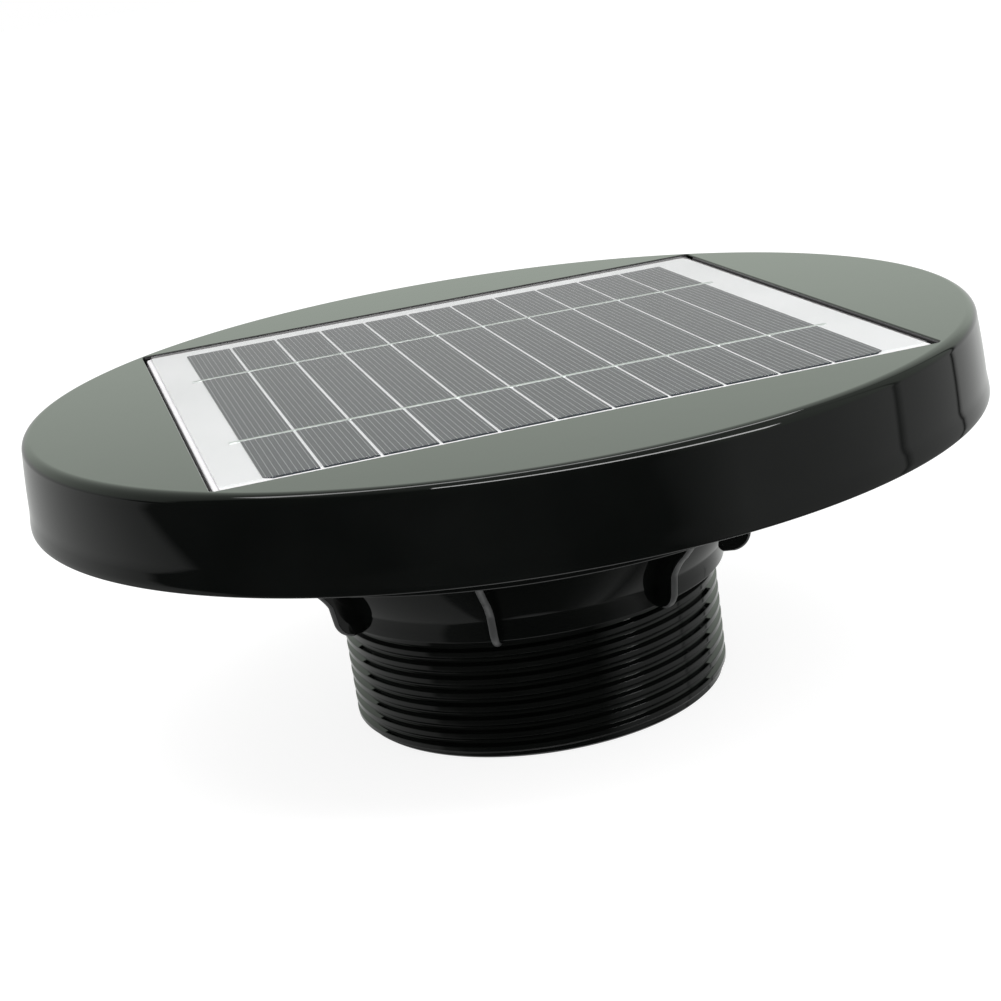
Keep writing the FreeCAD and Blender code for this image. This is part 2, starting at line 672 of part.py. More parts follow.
def make_leads():
    socket_y = "frame_flange + 1.5"
    joint_y = socket_y + " + socket_length"
    plug_y = joint_y + " + plug_length"
    for side, colour in ((-1, "black"), (1, "red")):
        x = f"{side} * lead_offset"
        low = "flange_top + lead_radius + 0.1"
        circuit_top = "circuit_level + circuit_thick"
        fan_route = [(x, "lead_start", circuit_top), (x, "lead_start", low), (x, socket_y, low)]
        lead(f"fan_lead_{colour}", fan_route)
        high, level = "box_foot + lead_drop", "flange_top + lead_rise"
        lead(f"panel_lead_{colour}", [(x, "box_middle_y + box_length / 2 - 3", high), (x, "lead_turn", high),
                                      (x, "lead_turn", level), (x, plug_y, level)])
    keep(block("lead_socket", "-socket_width / 2", socket_y, "flange_top", "socket_width", "socket_length",
               "socket_height"), "lead_socket")
    keep(block("lead_plug", "-plug_width / 2", joint_y, "flange_top + 0.4", "plug_width", "plug_length",
               "plug_height"), "lead_plug")


# Fan frame and the motor's fixed half


def make_fan_frame():
    body = new_body("fan_frame")
    revolve(body, "shroud", [
        ("shroud_inner", "seat_level"), ("shroud_outer", "seat_level"), ("shroud_outer", "flange_top"),
        ("frame_flange", "flange_top"), ("frame_flange", "frame_top - 0.6"),
        ("frame_flange - 0.6", "frame_top"),
        ("shroud_inner + 1.2", "frame_top"), ("shroud_inner", "frame_top - 1.2"),
    ])
    spoke = flat_sketch(body, "spoke_section", "spoke_under")
    rectangle(spoke, "tube_outer - 0.5", "shroud_inner + 1", "-spoke_width / 2", "spoke_width / 2")
    around(body, [pad(body, spoke, "spoke", "spoke_thick")], "4")
    revolve(body, "motor_mount", [
        ("bearing_outer", "tube_foot"), ("tube_outer", "tube_foot"), ("tube_outer", "spoke_under"),
        ("motor_base", "spoke_under"), ("motor_base", "frame_top"), ("bearing_outer", "frame_top"),
        ("bearing_outer", "upper_seat"), ("tube_step", "upper_seat"),
        ("tube_step", "tube_foot + 0.2 + bearing_width + washer_thick"),
        ("bearing_outer", "tube_foot + 0.2 + bearing_width + washer_thick"),
    ])
    channel = flat_sketch(body, "channel_section", "frame_top")
    rectangle(channel, "-channel_width / 2", "channel_width / 2", "9.5", "frame_flange + 1")
    pocket(body, channel, "channel", "frame_thick - 0.1")
    slot = flat_sketch(body, "lead_slot_section", "frame_top")
    rectangle(slot, "-channel_width / 2", "channel_width / 2", "9.5", "14")
    pocket(body, slot, "lead_slot", "spoke_thick + 1")
    corner = diagonal("frame_ring")
    hole = flat_sketch(body, "frame_hole_section", "frame_top")
    circle(hole, "screw_hole", corner, corner)
    around(body, [pocket(body, hole, "frame_hole", "frame_thick")], "4")
    keep(cylinder("hub_plug", "bearing_outer", "frame_top - 1.2", "1.2"), "hub_plug")


def make_stator():
    core_top = "core_level + core_height"
    for name, level in (("lower_bearing", "tube_foot + 0.2"), ("upper_bearing", "upper_seat")):
        keep(ring(name, "bearing_outer", "bearing_inner", level, "bearing_width"), name)
    keep(ring("preload_washer", "bearing_outer - 0.1", "tube_step - 0.4", "tube_foot + 0.2 + bearing_width",
              "washer_thick"), "preload_washer")

    shoes = ring("pole_shoes", "core_outer", "core_shoe", "core_level", "core_height")
    gap = middle_block("gap_bar", "0", "0", "core_level", "2 * core_outer + 1", "pole_gap", "core_height")
    shoes = cut("parted_shoes", shoes, *[turned(f"gap_bar_{angle}", gap, angle) for angle in (45, 135)])
    hub = cylinder("core_middle", "core_hub", "core_level", "core_height")
    arm_x = middle_block("arm_x", "0", "0", "core_level", "2 * core_shoe + 0.6", "arm_width", "core_height")
    arm_y = middle_block("arm_y", "0", "0", "core_level", "arm_width", "2 * core_shoe + 0.6", "core_height")
    bore = cylinder("core_bore", "tube_outer", "core_level", "core_height")
    keep(cut("stator_core", fuse("core_blank", shoes, hub, arm_x, arm_y), bore), "stator_core")

    coils = []
    low = "core_level + core_height / 2 - coil_height / 2"
    for name, sx, sy in (("east", 1, 0), ("north", 0, 1), ("west", -1, 0), ("south", 0, -1)):
        x, y = (f"{sign} * (core_hub + 0.1 + coil_depth / 2)" for sign in (sx, sy))
        spans = ["coil_depth" if sign else "coil_width" for sign in (sx, sy)]
        holes = ["coil_depth" if sign else "arm_width" for sign in (sx, sy)]
        coil = middle_block(f"coil_{name}", x, y, low, *spans, "coil_height")
        core = middle_block(f"coil_core_{name}", x, y, "core_level", *holes, "core_height")
        coils.append(cut(f"winding_{name}", coil, core))
    keep(group("stator_windings", *coils), "stator_windings")

    board = ring("driver_board", "circuit_radius", "tube_outer", "circuit_level", "circuit_thick")
    keep(board, "driver_board")
    top = "circuit_level + circuit_thick"
    chips = [middle_block(f"chip_{index}", x, y, top, length, width, "chip_height")
             for index, (x, y, length, width) in enumerate(CHIPS)]
    keep(group("driver_components", *chips), "driver_components")


# Everything that turns


def make_rotor():
    shaft = new_body("shaft")
    revolve(shaft, "shaft_turning", [
        ("0", "shaft_foot"), ("shaft_radius", "shaft_foot"), ("shaft_radius", "clip_level"),
        ("shaft_groove", "clip_level"), ("shaft_groove", "clip_level + clip_thick"),
        ("shaft_radius", "clip_level + clip_thick"), ("shaft_radius", "shaft_head - 0.3"),
        ("shaft_radius - 0.3", "shaft_head"), ("0", "shaft_head"),
    ])
    clip = ring("clip_ring", "clip_outer", "shaft_groove", "clip_level", "clip_thick")
    mouth = block("clip_mouth", "0", "-shaft_groove * 0.8", "clip_level", "clip_outer", "shaft_groove * 1.6",
                  "clip_thick")
    keep(cut("retaining_clip", clip, mouth), "retaining_clip")

    yoke = new_body("rotor_yoke")
    revolve(yoke, "yoke_cup", [
        ("shaft_radius", "shaft_foot"), ("yoke_outer", "shaft_foot"), ("yoke_outer", "yoke_top"),
        ("yoke_outer - yoke_wall", "yoke_top"), ("yoke_outer - yoke_wall", "shaft_foot + yoke_wall"),
        ("3", "shaft_foot + yoke_wall"), ("3", "tube_foot - 0.4"), ("shaft_radius", "tube_foot - 0.4"),
    ])
    keep(ring("magnet_ring", "yoke_outer - yoke_wall", "magnet_inner", "tube_foot",
              "yoke_top - tube_foot - 0.6"), "magnet_ring")


# Impeller: a cup-shaped hub with cambered, twisted blades


def make_impeller():
    hub = doc.addObject("PartDesign::Body", "impeller_hub")
    revolve(hub, "hub", [
        ("0", "hub_face"), ("hub_radius - hub_round", "hub_face", "hub_round", 1),
        ("hub_radius", "hub_face + hub_round"), ("hub_radius", "hub_top"), ("yoke_outer", "hub_top"),
        ("yoke_outer", "shaft_foot"), ("0", "shaft_foot"),
    ])
    loft = doc.addObject("Part::Loft", "blade_loft")
    loft.Sections = [blade_section("root"), blade_section("tip")]
    loft.Solid = True
    loft.Ruled = True
    sweep_ring = ring("blade_sweep", "blade_tip", "hub_radius - 1.5", "hub_face", "hub_top - hub_face")
    blade = doc.addObject("Part::Common", "blade")
    blade.Base = loft
    blade.Tool = sweep_ring
    count = int(amount("blade_count"))
    wheel = hub
    for index in range(count):
        joined = doc.addObject("Part::Fuse", f"wheel_{index}")
        joined.Base = wheel
        joined.Tool = turned(f"blade_{index}", blade, 360 * index / count)
        joined.Refine = False
        wheel = joined
    keep(wheel, "impeller")


def blade_section(end):
    """One cambered section of a blade, on an upright plane across the X axis."""
    sketch = doc.addObject("Sketcher::SketchObject", f"blade_section_{end}")
    sketch.Placement = Placement(Vector(), Rotation(Vector(1, 1, 1), 120))
    sketch.setExpression("Placement.Base.x", formula({"root": "blade_root", "tip": "blade_reach"}[end]))
    outline(sketch, [
        (f"-{end}_run", f"blade_level - {end}_rise", f"{end}_belly", 1),
        (f"{end}_run", f"blade_level + {end}_rise", f"{end}_back", -1),
    ])
    return sketch


# Inlet grille, clamp ring and screws


def make_inlet():
    low = "grille_level - grille_thick"
    rim = ring("grille_outer", "grille_radius", "grille_radius - grille_rim", low, "grille_thick")
    rings = []
    for index in range(1, int(amount("grille_rings")) + 1):
        inner = f"grille_hub + {index} * grille_pitch - grille_bar"
        rings.append(ring(f"grille_ring_{index}", inner + " + grille_bar", inner, low, "grille_thick"))
    bar = middle_block("spoke_bar", "0", "0", low, "2 * grille_radius - grille_rim", "grille_bar",
                       "grille_thick")
    bars = [turned(f"spoke_bar_{angle}", bar, angle) for angle in (0, 60, 120)]
    hub = cylinder("grille_middle", "grille_hub", low, "grille_thick")
    keep(fuse("inlet_grille", rim, hub, *rings, *bars), "inlet_grille")
    keep(ring("grille_clamp", "neck_bore - 0.1", "grille_seat", low + " - clamp_height", "clamp_height"),
         "grille_clamp")


def make_screws():
    """Four cap screws from below, and four frame screws from above, each with a cross recess."""
    kinds = (("cap_screws", "post_ring", "screw_seat", "floor_under", True),
             ("frame_screws", "frame_ring", "frame_top", "flange_level - 3", False))
    for label, distance, seat, tip, up in kinds:
        screws = []
        for index, (sx, sy) in enumerate(((1, 1), (-1, 1), (-1, -1), (1, -1))):
            x, y = (f"{sign} * {diagonal(distance)}" for sign in (sx, sy))
            shank_low, shank = (seat, f"{tip} - {seat}") if up else (tip, f"{seat} - ({tip})")
            head_low = f"{seat} - head_height" if up else seat
            slot_low = head_low if up else f"{seat} + head_height - cross_depth"
            name = f"{label}_{index}"
            body = cylinder(name + "_shank", "screw_radius", shank_low, shank, x, y)
            head = cylinder(name + "_head", "screw_head", head_low, "head_height", x, y)
            cross = [middle_block(f"{name}_slot_{sizes[0]}", x, y, slot_low, *sizes, "cross_depth")
                     for sizes in (("cross_length", "cross_width"), ("cross_width", "cross_length"))]
            screws.append(cut(name, fuse(name + "_blank", body, head), *cross))
        keep(group(label, *screws), label)


make_vent_base()
make_cap()
make_panel()
make_junction_box()
make_leads()
make_fan_frame()
make_stator()
make_rotor()
make_impeller()
make_inlet()
make_screws()
doc.recompute()

for item in doc.Objects:
    if "Invalid" in item.State or "Error" in item.State:
        raise RuntimeError(f"{item.Label} did not build: {item.State}")
for node in nodes:
    if node.Shape.isNull() or not node.Shape.isValid() or not node.Shape.Solids:
        raise RuntimeError(f"{node.Label} is not a valid solid")

os.makedirs("parts", exist_ok=True)
for node in nodes:
    node.Shape.exportStep(f"parts/{node.Label}.step")
    print(f"{node.Label}: {len(node.Shape.Solids)} solid(s), {node.Shape.Volume / 1000:.2f} cm3")
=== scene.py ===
import json
import math

import bmesh
import bpy
from mathutils import Matrix, Vector


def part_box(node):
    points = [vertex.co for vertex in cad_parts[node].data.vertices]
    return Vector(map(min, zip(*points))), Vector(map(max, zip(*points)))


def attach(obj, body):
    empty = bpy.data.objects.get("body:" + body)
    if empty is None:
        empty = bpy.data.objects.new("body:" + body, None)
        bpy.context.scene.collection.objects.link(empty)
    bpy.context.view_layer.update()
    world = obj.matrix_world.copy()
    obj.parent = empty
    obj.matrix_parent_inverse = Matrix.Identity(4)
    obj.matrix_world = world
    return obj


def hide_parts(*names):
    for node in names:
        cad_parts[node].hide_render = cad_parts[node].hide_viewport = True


MM = 0.001

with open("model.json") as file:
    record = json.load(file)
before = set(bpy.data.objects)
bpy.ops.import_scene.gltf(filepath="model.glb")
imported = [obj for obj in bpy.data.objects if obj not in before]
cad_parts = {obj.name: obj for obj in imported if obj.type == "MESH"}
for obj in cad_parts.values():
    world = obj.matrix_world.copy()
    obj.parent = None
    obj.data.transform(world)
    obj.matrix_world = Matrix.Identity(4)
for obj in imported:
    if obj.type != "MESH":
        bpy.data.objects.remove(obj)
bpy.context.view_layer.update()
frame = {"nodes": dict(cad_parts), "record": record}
nodes = frame["nodes"]
scene = bpy.context.scene
scene.view_settings.view_transform = "Standard"

# Camera: where it looks from, and the length of its lens

CAMERA_AZIMUTH = 12.571
CAMERA_ELEVATION = 16.133
CAMERA_ROLL = 8.495
CAMERA_DISTANCE = 0.52448
CAMERA_AIM = (-0.00395, 0.00088, 0.0532)
CAMERA_LENS = 70.42


def make_camera():
    azimuth, elevation = math.radians(CAMERA_AZIMUTH), math.radians(CAMERA_ELEVATION)
    ahead = Vector((math.sin(azimuth) * math.cos(elevation), math.cos(azimuth) * math.cos(elevation),
                    -math.sin(elevation)))
    camera = bpy.data.objects.new("camera", bpy.data.cameras.new("camera"))
    camera.data.lens = CAMERA_LENS
    camera.data.sensor_width = 36
    camera.data.clip_start, camera.data.clip_end = 0.01, 100
    turn = ahead.to_track_quat("-Z", "Y").to_matrix() @ Matrix.Rotation(math.radians(-CAMERA_ROLL), 3, "Z")
    camera.matrix_world = Matrix.Translation(Vector(CAMERA_AIM) - ahead * CAMERA_DISTANCE) @ turn.to_4x4()
    scene.collection.objects.link(camera)
    scene.camera = camera


# Nodes


class Tree:
    """A node tree with short ways to add what the materials share."""

    def __init__(self, tree):
        self.tree = tree
        tree.nodes.clear()

    def node(self, kind, inputs=(), **settings):
        made = self.tree.nodes.new(kind)
        for name, value in settings.items():
            setattr(made, name, value)
        for socket, value in dict(inputs).items():
            self.put(made.inputs[socket], value)
        return made

    def put(self, socket, value):
        """Links a socket, or sets it to a plain value."""
        if isinstance(value, bpy.types.NodeSocket):
            self.tree.links.new(value, socket)
        else:
            socket.default_value = value

    def math(self, operation, *values):
        made = self.node("ShaderNodeMath", enumerate(values), operation=operation)
        return made.outputs[0]

    def blend(self, factor, first, second, kind="MIX"):
        made = self.node("ShaderNodeMix", data_type="RGBA", blend_type=kind)
        for index, value in ((0, factor), (6, first), (7, second)):
            self.put(made.inputs[index], value)
        return made.outputs[2]

    def span(self, value, low, high, to_low, to_high, smooth=False):
        made = self.node("ShaderNodeMapRange", enumerate((value, low, high, to_low, to_high)))
        if smooth:
            made.interpolation_type = "SMOOTHSTEP"
        return made.outputs[0]

    def stretch(self, coordinates, scale, turn=(0, 0, 0)):
        made = self.node("ShaderNodeMapping", {"Vector": coordinates, "Scale": scale, "Rotation": turn})
        return made.outputs[0]

    def noise(self, coordinates, scale, detail=3.0, roughness=0.5):
        made = self.node("ShaderNodeTexNoise", {"Vector": coordinates, "Scale": scale, "Detail": detail,
                                                "Roughness": roughness})
        return made.outputs[0]

    def ramp(self, value, stops):
        """A ramp with (place, grey) stops."""
        made = self.node("ShaderNodeValToRGB", {0: value})
        for index, (place, grey) in enumerate(stops):
            elements = made.color_ramp.elements
            element = elements[index] if index < 2 else elements.new(place)
            element.position = place
            element.color = (grey, grey, grey, 1)
        return made.outputs[0]


# Studio: a pale floor, a bright sweep behind and at the sides, and two long soft lights overhead

SURROUND = [
    # degrees round from the front towards +X, brightness a little below the horizon
    (-180, 0.66), (-150, 0.52), (-120, 0.38), (-98, 0.25), (-93, 0.03), (-45, 0.03), (-30, 0.05), (20, 0.03),
    (38, 0.30), (83.9, 0.40), (84.5, 0.03), (85.4, 0.03), (86.0, 0.36), (111.9, 0.38), (112.5, 0.02),
    (113.4, 0.02), (114.1, 0.55), (135, 0.80), (180, 0.66),
]
FOREGROUND = [
    # the same for directions that point well down
    (-180, 0.30), (-120, 0.26), (-86, 0.22), (-80, 0.05), (-30, 0.02), (10, 0.02), (30, 0.06), (52, 0.20),
    (62, 0.08), (80, 0.30), (104, 0.36), (124, 0.45), (140, 0.55), (180, 0.35),
]
OVERHEAD = 0.30  # brightness straight up
UNDERFOOT = 0.80  # brightness straight down
SOFT_LIGHT = 0.72  # even brightness that matt surfaces receive
LIFT = 1.25  # gain of the surround above the horizon
TINT = (0.90, 1.0, 0.885)  # cast of the surround above the horizon


def make_surround():
    """What glossy surfaces mirror, with an even light for matt surfaces and plain white behind."""
    world = bpy.data.worlds.new("studio")
    world.use_nodes = True
    scene.world = world
    tree = Tree(world.node_tree)
    direction = tree.node("ShaderNodeTexCoord").outputs["Generated"]
    x, y, z = tree.node("ShaderNodeSeparateXYZ", {0: direction}).outputs
    around = tree.math("ARCTAN2", x, tree.math("MULTIPLY", y, -1.0))
    # on the -X side the edges between bright and dark lean further forwards the lower they are
    lean = tree.math("ADD", tree.span(z, -0.27, -0.07, 0.24, -0.26),
                     tree.span(z, -0.05, 0.10, 0.0, 0.26))
    slant = tree.math("MULTIPLY", lean, tree.span(x, -0.5, 0.5, 1.0, 0.0))
    place = tree.span(tree.math("SUBTRACT", around, slant), -math.pi, math.pi, 0.0, 1.0)
    level, down = (tree.ramp(place, [((degrees + 180) / 360, grey) for degrees, grey in stops])
                   for stops in (SURROUND, FOREGROUND))
    low = tree.blend(tree.span(z, -0.48, -0.33, 1.0, 0.0, smooth=True), level, down)
    low = tree.node("ShaderNodeVectorMath", {0: low}, operation="SCALE")
    tree.put(low.inputs["Scale"], tree.span(z, -0.05, 0.25, 1.0, LIFT, smooth=True))
    high = tree.span(z, 0.70, 0.97, 0.0, 1.0, smooth=True)
    surround = tree.blend(high, low.outputs[0], (OVERHEAD, OVERHEAD, OVERHEAD, 1))
    surround = tree.blend(tree.span(z, -0.985, -0.955, 1.0, 0.0), surround,
                          (UNDERFOOT, UNDERFOOT, UNDERFOOT, 1))
    surround = tree.blend(tree.span(z, -0.05, 0.15, 0.15, 1.0), surround, (*TINT, 1), kind="MULTIPLY")
    path = tree.node("ShaderNodeLightPath").outputs
    colour = tree.blend(path["Is Diffuse Ray"], surround, (SOFT_LIGHT, SOFT_LIGHT, SOFT_LIGHT, 1))
    colour = tree.blend(path["Is Camera Ray"], colour, (1, 1, 1, 1))
    background = tree.node("ShaderNodeBackground", {"Color": colour, "Strength": 1.0})
    tree.node("ShaderNodeOutputWorld", {"Surface": background.outputs[0]})


def make_strip_light(name, place, length, width, turn, brightness):
    """A long soft light that faces down, with its brightness as seen in a mirror."""
    lamp = bpy.data.lights.new(name, "AREA")
    lamp.shape = "RECTANGLE"
    lamp.size, lamp.size_y = length, width
    lamp.energy = brightness * math.pi * length * width
    made = bpy.data.objects.new(name, lamp)
    made.location = place
    aim = (Vector((0, 0, 0.09)) - Vector(place)).to_track_quat("-Z", "Y").to_matrix()
    made.rotation_euler = (aim @ Matrix.Rotation(math.radians(turn), 3, "Z")).to_euler()
    scene.collection.objects.link(made)


FLOOR_RADIUS = 14.0


def make_floor():
    floor = bpy.data.meshes.new("floor")
    steps = 96
    ring = [(FLOOR_RADIUS * math.cos(2 * math.pi * index / steps),
             FLOOR_RADIUS * math.sin(2 * math.pi * index / steps), -0.0001) for index in range(steps)]
    floor.from_pydata(ring, [], [list(range(steps))])
    made = bpy.data.objects.new("floor", floor)
    scene.collection.objects.link(made)
    made.visible_glossy = False
    pale = bpy.data.materials.new("pale_floor")
    pale.use_nodes = True
    tree = Tree(pale.node_tree)
    surface = tree.node("ShaderNodeBsdfPrincipled", {
        "Base Color": (0.30, 0.30, 0.30, 1), "Roughness": 0.9, "Specular IOR Level": 0.1,
        "Emission Color": (1, 1, 1, 1), "Emission Strength": 0.86,
    })
    clear = tree.node("ShaderNodeBsdfTransparent")
    below = tree.node("ShaderNodeNewGeometry").outputs["Backfacing"]
    surface = tree.node("ShaderNodeMixShader", {0: below, 1: surface.outputs[0], 2: clear.outputs[0]})
    tree.node("ShaderNodeOutputMaterial", {"Surface": surface.outputs[0]})
    floor.materials.append(pale)


# Materials


def new_material(name):
    made = bpy.data.materials.new(name)
    made.use_nodes = True
    tree = Tree(made.node_tree)
    return made, tree, tree.node("ShaderNodeTexCoord").outputs["Object"]


def finish_material(tree, colour, roughness, relief=None, depth=0.0, **plain):
    """A Principled surface with a colour, a roughness and an optional relief that is depth metres deep."""
    sockets = {"Base Color": colour, "Roughness": roughness, **plain}
    if relief is not None:
        bump = tree.node("ShaderNodeBump", {"Height": relief, "Distance": depth, "Strength": 1.0})
        sockets["Normal"] = bump.outputs[0]
    surface = tree.node("ShaderNodeBsdfPrincipled", sockets)
    tree.node("ShaderNodeOutputMaterial", {"Surface": surface.outputs[0]})


def gloss_black():
    """High-gloss black moulding: near-mirror, a little wavy, with hairline scratches and faint haze."""
    made, tree, spot = new_material("gloss_black")
    haze = tree.noise(spot, 38.0, 4.0)
    scratches = tree.noise(tree.stretch(spot, (1400, 60, 60), (0, 0, 0.5)), 1.0, 2.0)
    cross = tree.noise(tree.stretch(spot, (60, 1300, 60), (0, 0, 0.2)), 1.0, 2.0)
    marks = tree.math("MAXIMUM", scratches, cross)
    rough = tree.math("ADD", tree.span(haze, 0.35, 0.7, 0.015, 0.045),
                      tree.span(marks, 0.66, 0.82, 0.0, 0.04))
    colour = tree.blend(tree.span(haze, 0.3, 0.75, 0.0, 1.0), (0.0016, 0.0020, 0.0018, 1),
                        (0.0032, 0.0037, 0.0034, 1))
    waves = tree.noise(spot, 62.0, 2.0)
    finish_material(tree, colour, rough, waves, 0.000018, **{"IOR": 1.5})
    return made


def fin_edge_painted_highlight():
    """The fins' edges: the same black, duller, and paler in vertical streaks; the paler colour is a painted
    highlight for the light these rounded edges catch.
    """
    made, tree, spot = new_material("fin_edge_painted_highlight")
    streaks = tree.noise(tree.stretch(spot, (500, 500, 90)), 1.0, 3.0)
    # the paler of these two colours is painted highlight, not the plastic's own colour
    colour = tree.blend(tree.span(streaks, 0.3, 0.7, 0.0, 1.0), (0.040, 0.041, 0.041, 1),
                        (0.066, 0.067, 0.067, 1))
    finish_material(tree, colour, tree.span(streaks, 0.3, 0.7, 0.30, 0.40), streaks, 0.00001, **{"IOR": 1.5})
    return made


def satin_black():
    """Black moulding with a fine spark-eroded grain."""
    made, tree, spot = new_material("satin_black")
    grain = tree.noise(spot, 2600.0, 3.0, 0.6)
    patches = tree.noise(spot, 70.0, 3.0)
    rough = tree.math("ADD", tree.span(patches, 0.3, 0.7, 0.30, 0.42), tree.span(grain, 0.4, 0.7, 0.0, 0.10))
    colour = tree.blend(patches, (0.010, 0.010, 0.011, 1), (0.018, 0.018, 0.019, 1))
    finish_material(tree, colour, rough, grain, 0.00003, **{"IOR": 1.5})
    return made


def fan_plastic():
    """Glass-filled black plastic: satin, with short pale fibres just below the skin."""
    made, tree, spot = new_material("fan_plastic")
    fibres = tree.noise(tree.stretch(spot, (900, 5200, 2400), (0.4, 0.3, 0.7)), 1.0, 2.0)
    patches = tree.noise(spot, 90.0, 3.0)
    colour = tree.blend(tree.span(fibres, 0.55, 0.75, 0.0, 0.6), (0.012, 0.012, 0.013, 1),
                        (0.030, 0.030, 0.030, 1))
    rough = tree.math("ADD", tree.span(patches, 0.3, 0.7, 0.24, 0.36), tree.span(fibres, 0.5, 0.8, 0.0, 0.12))
    finish_material(tree, colour, rough, fibres, 0.00002, **{"IOR": 1.5})
    return made


def back_sheet():
    """White sheet under the cells, a little uneven, with the weave of its cloth showing through."""
    made, tree, spot = new_material("back_sheet")
    clouds = tree.noise(spot, 30.0, 4.0)
    weave = tree.noise(tree.stretch(spot, (900, 900, 900)), 1.0, 2.0)
    colour = tree.blend(tree.span(clouds, 0.3, 0.7, 0.0, 1.0), (0.80, 0.785, 0.80, 1), (0.87, 0.85, 0.868, 1))
    finish_material(tree, colour, tree.span(weave, 0.3, 0.7, 0.35, 0.5), weave, 0.00001,
                    **{"Specular IOR Level": 0.08})
    return made


def silicon():
    """Blue-grey silicon with a fine textured etch under its dark anti-reflection film."""
    made, tree, spot = new_material("silicon")
    etch = tree.noise(spot, 3000.0, 2.0)
    clouds = tree.noise(tree.stretch(spot, (90, 14, 90)), 1.0, 4.0)
    base = tree.blend(tree.span(clouds, 0.3, 0.7, 0.0, 1.0), (0.010, 0.014, 0.024, 1),
                      (0.018, 0.022, 0.034, 1))
    colour = tree.blend(tree.span(etch, 0.5, 0.8, 0.0, 0.6), base, (0.038, 0.044, 0.062, 1))
    finish_material(tree, colour, tree.span(etch, 0.3, 0.7, 0.30, 0.45), etch, 0.00001,
                    **{"Specular IOR Level": 0.10})
    return made


def metal(name, light, dark, rough, lines=(40, 2200, 2200), depth=0.00001):
    """Bare metal with fine lines one way and a slightly uneven tone."""
    made, tree, spot = new_material(name)
    grain = tree.noise(tree.stretch(spot, lines), 1.0, 3.0)
    tone = tree.noise(spot, 120.0, 3.0)
    mixed = tree.math("MULTIPLY", tree.span(grain, 0.3, 0.7, 0.0, 1.0), tree.span(tone, 0.2, 0.8, 0.4, 1.0))
    colour = tree.blend(mixed, (*light, 1), (*dark, 1))
    roughness = tree.math("ADD", rough, tree.span(grain, 0.3, 0.8, -0.05, 0.15))
    finish_material(tree, colour, roughness, grain, depth, **{"Metallic": 1.0})
    return made


def plain_solid(name, light, dark, rough, scale, depth, **plain):
    """A dyed solid with a fine grain: insulation, nylon, foam, epoxy or ferrite."""
    made, tree, spot = new_material(name)
    grain = tree.noise(spot, scale, 4.0, 0.6)
    patches = tree.noise(spot, 80.0, 3.0)
    mixed = tree.math("MULTIPLY", tree.span(grain, 0.3, 0.7, 0.0, 1.0),
                      tree.span(patches, 0.2, 0.8, 0.3, 1.0))
    colour = tree.blend(mixed, (*light, 1), (*dark, 1))
    roughness = tree.math("ADD", rough, tree.span(grain, 0.3, 0.8, -0.06, 0.12))
    finish_material(tree, colour, roughness, grain, depth, **plain)
    return made


def clear_front():
    """Clear laminate: what lies under it shows through, and its surface mirrors like glass."""
    made, tree, spot = new_material("clear_front")
    haze = tree.noise(spot, 60.0, 3.0)
    ripples = tree.noise(spot, 110.0, 2.0)
    bump = tree.node("ShaderNodeBump", {"Height": ripples, "Distance": 0.00001, "Strength": 1.0})
    mirror = tree.node("ShaderNodeBsdfGlossy", {
        "Color": (0.70, 0.62, 0.70, 1), "Roughness": tree.span(haze, 0.3, 0.7, 0.03, 0.08),
        "Normal": bump.outputs[0],
    })
    clear = tree.node("ShaderNodeBsdfTransparent", {"Color": (0.98, 0.99, 0.985, 1)})
    share = tree.node("ShaderNodeFresnel", {"IOR": 1.5, "Normal": bump.outputs[0]})
    inside = tree.node("ShaderNodeNewGeometry").outputs["Backfacing"]
    mirrored = tree.math("MULTIPLY", share.outputs[0], tree.math("SUBTRACT", 1.0, inside))
    surface = tree.node("ShaderNodeMixShader", {0: mirrored, 1: clear.outputs[0], 2: mirror.outputs[0]})
    tree.node("ShaderNodeOutputMaterial", {"Surface": surface.outputs[0]})
    return made


def make_materials():
    """One material for each of the record's material slots, and one more that paints a highlight on the fins'
    edges.
    """
    return {
        "housing_black": gloss_black(),
        # painted highlight on the fins' edges
        "fin_edge_painted_highlight": fin_edge_painted_highlight(),
        "box_black": satin_black(),
        "fan_black": fan_plastic(),
        "board_white": back_sheet(),
        "silicon": silicon(),
        "clear_front": clear_front(),
        "tinned_ribbon": metal("tinned_ribbon", (0.82, 0.83, 0.83), (0.60, 0.61, 0.62), 0.42,
                               (900, 900, 900)),
        "steel": metal("steel", (0.62, 0.62, 0.63), (0.40, 0.40, 0.41), 0.28),
        "brass": metal("brass", (0.80, 0.62, 0.30), (0.62, 0.46, 0.20), 0.30),
        "copper": metal("copper", (0.72, 0.32, 0.15), (0.50, 0.20, 0.09), 0.25, (300, 300, 300)),
        "magnet": plain_solid("magnet", (0.045, 0.043, 0.042), (0.02, 0.02, 0.02), 0.55, 1800, 0.00004),
        "foam_black": plain_solid("foam", (0.03, 0.03, 0.03), (0.008, 0.008, 0.008), 0.85, 1500, 0.0002),
        "chip_black": plain_solid("epoxy", (0.035, 0.035, 0.037), (0.015, 0.015, 0.016), 0.5, 2500, 0.00003),
        "lead_black": plain_solid("insulation_black", (0.022, 0.022, 0.022), (0.012, 0.012, 0.012), 0.4,
                                  700, 0.00003),
        "lead_red": plain_solid("insulation_red", (0.50, 0.018, 0.015), (0.36, 0.010, 0.010), 0.38,
                                700, 0.00003),
        "connector_white": plain_solid("nylon_white", (0.78, 0.77, 0.72), (0.68, 0.67, 0.62), 0.42,
                                       900, 0.00003, **{"Subsurface Weight": 0.05}),
        "board_green": plain_solid("solder_mask", (0.012, 0.10, 0.035), (0.008, 0.07, 0.025), 0.25,
                                   400, 0.00002, **{"Coat Weight": 0.5}),
    }


def dress(materials):
    """Gives every CAD node the material of its slot."""
    for entry in frame["record"]["subparts"]:
        for place in nodes[entry["node"]].material_slots:
            place.material = materials[entry["material_slot"]]


# Closed solids and how they are joined


